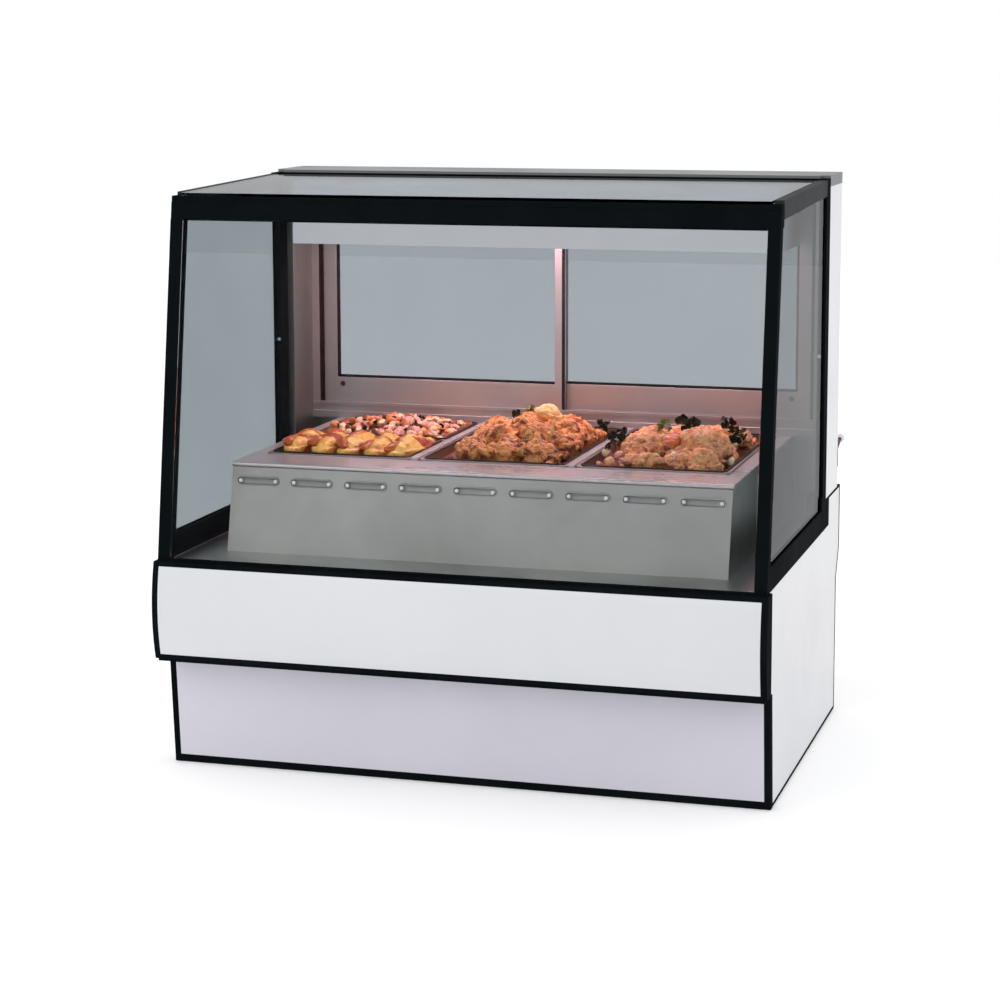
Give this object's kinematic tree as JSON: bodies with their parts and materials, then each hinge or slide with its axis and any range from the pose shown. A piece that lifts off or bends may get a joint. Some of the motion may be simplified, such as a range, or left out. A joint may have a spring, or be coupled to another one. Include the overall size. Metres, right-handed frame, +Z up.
{
  "type": "hot food display case",
  "caption": "Floor-standing heated display case for hot food: white base, slanted glass front, pans in a heated well, sliding rear doors.",
  "frame": {"origin": "centre of the base's footprint, on the floor", "axes": "+X to the right seen from the customer's side, +Y to the rear, +Z up"},
  "size_m": [1.283, 1.017, 1.219],
  "materials": {
    "frame_paint": "grey powder coat",
    "steel": "satin stainless",
    "pan_steel": "polished stainless",
    "laminate": "white laminate, smooth",
    "black_trim": "black edging, satin",
    "black_anodised": "black anodised extrusion",
    "grey_anodised": "dark grey satin extrusion",
    "track_aluminium": "clear anodised extrusion",
    "clear_glass": "tempered, clear",
    "grey_glass": "tempered, light grey-blue",
    "roof_glass": "tempered, light grey",
    "hood_paint": "light grey enamel",
    "canopy_paint": "grey satin paint",
    "panel_grey": "dark grey satin paint",
    "lamp_glass": "quartz tube",
    "ceramic": "unglazed white",
    "brass": "bare brass",
    "red_plastic": "red",
    "knob_plastic": "black, fine texture",
    "heater_sheath": "heat-blued steel sheath",
    "insulation": "mineral fibre",
    "screw_steel": "bright plated",
    "lever_steel": "satin steel"
  },
  "bodies": {
    "case": {"base_frame": "frame_paint", "bottom_pan": "steel", "side_panel_left": "laminate", "side_panel_right": "laminate", "side_trims": "black_trim", "lower_front_panel": "laminate", "lower_front_trim": "black_trim", "upper_front_panel": "laminate", "upper_front_trim": "black_trim", "rear_access_panel": "steel", "control_housing": "steel", "control_panel": "panel_grey", "indicator_lamps": "red_plastic", "power_gland": "knob_plastic", "drain_pipe": "brass", "deck": "steel", "well_housing": "steel", "well_top": "steel", "well_tanks": "steel", "heating_elements": "heater_sheath", "well_insulation": "insulation", "divider_bars": "steel", "front_header": "black_anodised", "front_stiles": "black_anodised", "hinge_blocks": "black_trim", "side_glass_left": "grey_glass", "side_glass_right": "grey_glass", "side_channels": "black_anodised", "side_top_rails": "grey_anodised", "top_panel": "roof_glass", "rear_posts": "black_anodised", "corner_blocks": "black_trim", "end_panels": "laminate", "end_liners": "steel", "rear_canopy": "canopy_paint", "lamp_hood": "hood_paint", "heat_lamps": "lamp_glass", "lamp_sockets": "ceramic", "door_surround": "track_aluminium", "fasteners": "screw_steel", "lever_bracket": "black_trim"},
    "front_glass_door": {"front_glass": "clear_glass", "front_glass_rail": "black_anodised"},
    "door_left": {"door_left_frame": "track_aluminium", "door_left_glass": "grey_glass", "door_left_pull": "black_trim"},
    "door_right": {"door_right_frame": "track_aluminium", "door_right_glass": "grey_glass", "door_right_pull": "black_trim"},
    "pan_left_front": {"pan_left_front": "pan_steel"},
    "pan_left_rear": {"pan_left_rear": "pan_steel"},
    "pan_middle": {"pan_middle": "pan_steel"},
    "pan_right": {"pan_right": "pan_steel"},
    "knob_left": {"knob_left": "knob_plastic"},
    "knob_middle": {"knob_middle": "knob_plastic"},
    "knob_right": {"knob_right": "knob_plastic"},
    "lamp_switch": {"lamp_switch": "knob_plastic"},
    "light_switch": {"light_switch": "knob_plastic"},
    "drain_handle": {"drain_handle": "red_plastic"},
    "rear_lever": {"rear_lever": "lever_steel"}
  },
  "joints": [
    {"name": "front_glass_tilt", "type": "hinge", "parent": "case", "child": "front_glass_door", "pos_m": [0, -0.41781, 0.445], "axis": [1, 0, 0], "range_deg": [0, 40]},
    {"name": "door_left_slide", "type": "slide", "parent": "case", "child": "door_left", "axis": [1, 0, 0], "range_m": [0, 0.55]},
    {"name": "door_right_slide", "type": "slide", "parent": "case", "child": "door_right", "axis": [-1, 0, 0], "range_m": [0, 0.55]},
    {"name": "pan_left_front_lift", "type": "slide", "parent": "case", "child": "pan_left_front", "axis": [0, 0, 1], "range_m": [0, 0.2]},
    {"name": "pan_left_rear_lift", "type": "slide", "parent": "case", "child": "pan_left_rear", "axis": [0, 0, 1], "range_m": [0, 0.2]},
    {"name": "pan_middle_lift", "type": "slide", "parent": "case", "child": "pan_middle", "axis": [0, 0, 1], "range_m": [0, 0.2]},
    {"name": "pan_right_lift", "type": "slide", "parent": "case", "child": "pan_right", "axis": [0, 0, 1], "range_m": [0, 0.2]},
    {"name": "knob_left_turn", "type": "hinge", "parent": "case", "child": "knob_left", "pos_m": [0, 0.49, 0.43], "axis": [0, -1, 0], "range_deg": [0, 300]},
    {"name": "knob_middle_turn", "type": "hinge", "parent": "case", "child": "knob_middle", "pos_m": [-0.1, 0.49, 0.43], "axis": [0, -1, 0], "range_deg": [0, 300]},
    {"name": "knob_right_turn", "type": "hinge", "parent": "case", "child": "knob_right", "pos_m": [-0.2, 0.49, 0.43], "axis": [0, -1, 0], "range_deg": [0, 300]},
    {"name": "lamp_switch_rock", "type": "hinge", "parent": "case", "child": "lamp_switch", "pos_m": [0.11, 0.486, 0.44], "axis": [1, 0, 0], "range_deg": [0, 16]},
    {"name": "light_switch_rock", "type": "hinge", "parent": "case", "child": "light_switch", "pos_m": [0.18, 0.486, 0.44], "axis": [1, 0, 0], "range_deg": [0, 16]},
    {"name": "drain_handle_turn", "type": "hinge", "parent": "case", "child": "drain_handle", "pos_m": [0.3, 0.463, 0.17], "axis": [0, 0, 1], "range_deg": [0, 90]},
    {"name": "rear_lever_swing", "type": "hinge", "parent": "case", "child": "rear_lever", "pos_m": [0.62425, 0.46, 0.578], "axis": [1, 0, 0], "range_deg": [-75, 0]}
  ]
}
